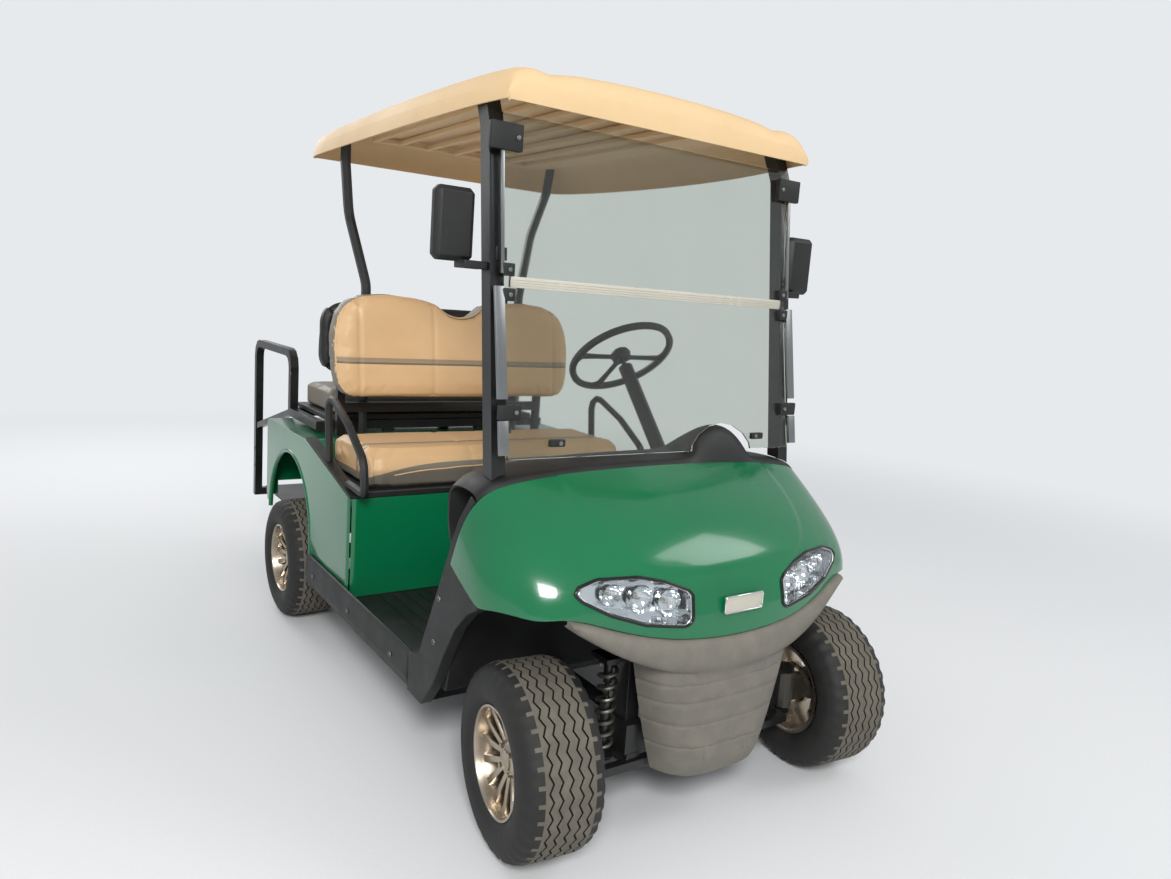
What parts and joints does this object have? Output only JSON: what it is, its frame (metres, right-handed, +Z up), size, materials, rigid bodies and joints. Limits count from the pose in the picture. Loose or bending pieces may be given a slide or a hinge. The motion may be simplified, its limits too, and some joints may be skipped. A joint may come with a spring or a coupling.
{
  "type": "golf cart",
  "caption": "Open golf cart with a front bench, a rear-facing flip seat, a moulded roof on struts, a two-part windshield and steered front wheels.",
  "frame": {"origin": "centre of the bounding box on the ground", "axes": "+Z up, the front faces -Y, +X is the driver's left side"},
  "size_m": [1.258, 2.77, 1.818],
  "materials": {
    "green_panel": "gloss moulded body colour",
    "black_plastic": "textured moulding",
    "black_steel": "black powder coat",
    "strut_steel": "dark powder coat",
    "bare_steel": "cast and turned steel",
    "tan_vinyl": "two-tone stitched vinyl",
    "roof_plastic": "moulded roof",
    "clear_sheet": "clear acrylic",
    "tyre": "street tread",
    "alloy": "machined faces",
    "lamp_bowl": "metallised bowl",
    "lamp_lens": "clear lens",
    "red_lens": "red lens",
    "battery_case": "battery cases",
    "deck_plate": "tread plate"
  },
  "bodies": {
    "chassis": {"chassis_frame": "black_steel", "battery_pack": "battery_case", "floor_pan": "black_plastic", "sills": "black_plastic", "quarters": "black_plastic", "front_cowl": "green_panel", "dash_panel": "black_plastic", "front_bumper": "black_plastic", "headlight_housings": "lamp_bowl", "headlight_lenses": "lamp_lens", "front_suspension": "black_steel", "coilovers": "bare_steel", "rear_axle": "bare_steel", "rear_suspension": "black_steel", "rear_body": "green_panel", "seat_base": "black_plastic", "front_backrest": "tan_vinyl", "backrest_supports": "black_steel", "hip_restraints": "black_plastic", "rear_backrest": "tan_vinyl", "rear_frame": "black_steel", "foot_plate": "deck_plate", "front_struts": "strut_steel", "rear_struts": "strut_steel", "roof": "roof_plastic", "windshield_upper": "clear_sheet", "windshield_lower": "clear_sheet", "mirrors": "black_plastic", "steering_column": "black_steel", "pedals": "black_steel", "tail_lights": "red_lens"},
    "knuckle_left": {"knuckle_left": "bare_steel"},
    "knuckle_right": {"knuckle_right": "bare_steel"},
    "wheel_front_left": {"rim_front_left": "alloy", "tyre_front_left": "tyre"},
    "wheel_front_right": {"rim_front_right": "alloy", "tyre_front_right": "tyre"},
    "wheel_rear_left": {"rim_rear_left": "alloy", "tyre_rear_left": "tyre"},
    "wheel_rear_right": {"rim_rear_right": "alloy", "tyre_rear_right": "tyre"},
    "steering": {"steering_wheel": "black_plastic"},
    "front_seat_lid": {"front_cushion": "tan_vinyl"},
    "rear_seat_flip": {"rear_cushion": "tan_vinyl", "rear_deck": "black_plastic"}
  },
  "joints": [
    {"name": "steer_left", "type": "hinge", "parent": "chassis", "child": "knuckle_left", "pos_m": [0.3765, -1.14766, 0.222], "axis": [0, 0, 1], "range_deg": [-23.6, 36.4]},
    {"name": "steer_right", "type": "hinge", "parent": "chassis", "child": "knuckle_right", "pos_m": [-0.3765, -1.14766, 0.222], "axis": [0, 0, 1], "range_deg": [-23.6, 36.4]},
    {"name": "steering_turn", "type": "hinge", "parent": "chassis", "child": "steering", "pos_m": [0.272, -0.38766, 1.096], "axis": [0, 0.6561, 0.7547], "range_deg": [-283.2, 436.8]},
    {"name": "spin_front_left", "type": "hinge", "parent": "knuckle_left", "child": "wheel_front_left", "pos_m": [0.46594, -1.15769, 0.222], "axis": [0.9938, -0.1115, 0], "continuous": true},
    {"name": "spin_front_right", "type": "hinge", "parent": "knuckle_right", "child": "wheel_front_right", "pos_m": [-0.46594, -1.13763, 0.222], "axis": [0.9938, -0.1115, 0], "continuous": true},
    {"name": "spin_rear_left", "type": "hinge", "parent": "chassis", "child": "wheel_rear_left", "pos_m": [0.5, 0.53634, 0.222], "axis": [1, 0, 0], "continuous": true},
    {"name": "spin_rear_right", "type": "hinge", "parent": "chassis", "child": "wheel_rear_right", "pos_m": [-0.5, 0.53634, 0.222], "axis": [1, 0, 0], "continuous": true},
    {"name": "front_seat_lid_open", "type": "hinge", "parent": "chassis", "child": "front_seat_lid", "pos_m": [0, 0.27834, 0.628], "axis": [-1, 0, 0], "range_deg": [0, 40]},
    {"name": "rear_seat_flip_over", "type": "hinge", "parent": "chassis", "child": "rear_seat_flip", "pos_m": [0, 0.87034, 0.7707], "axis": [-1, 0, 0], "range_deg": [0, 180]}
  ],
  "couplings": [
    {"joint": "steer_right", "follows": "steer_left", "ratio": 1},
    {"joint": "steering_turn", "follows": "steer_left", "ratio": 12}
  ]
}
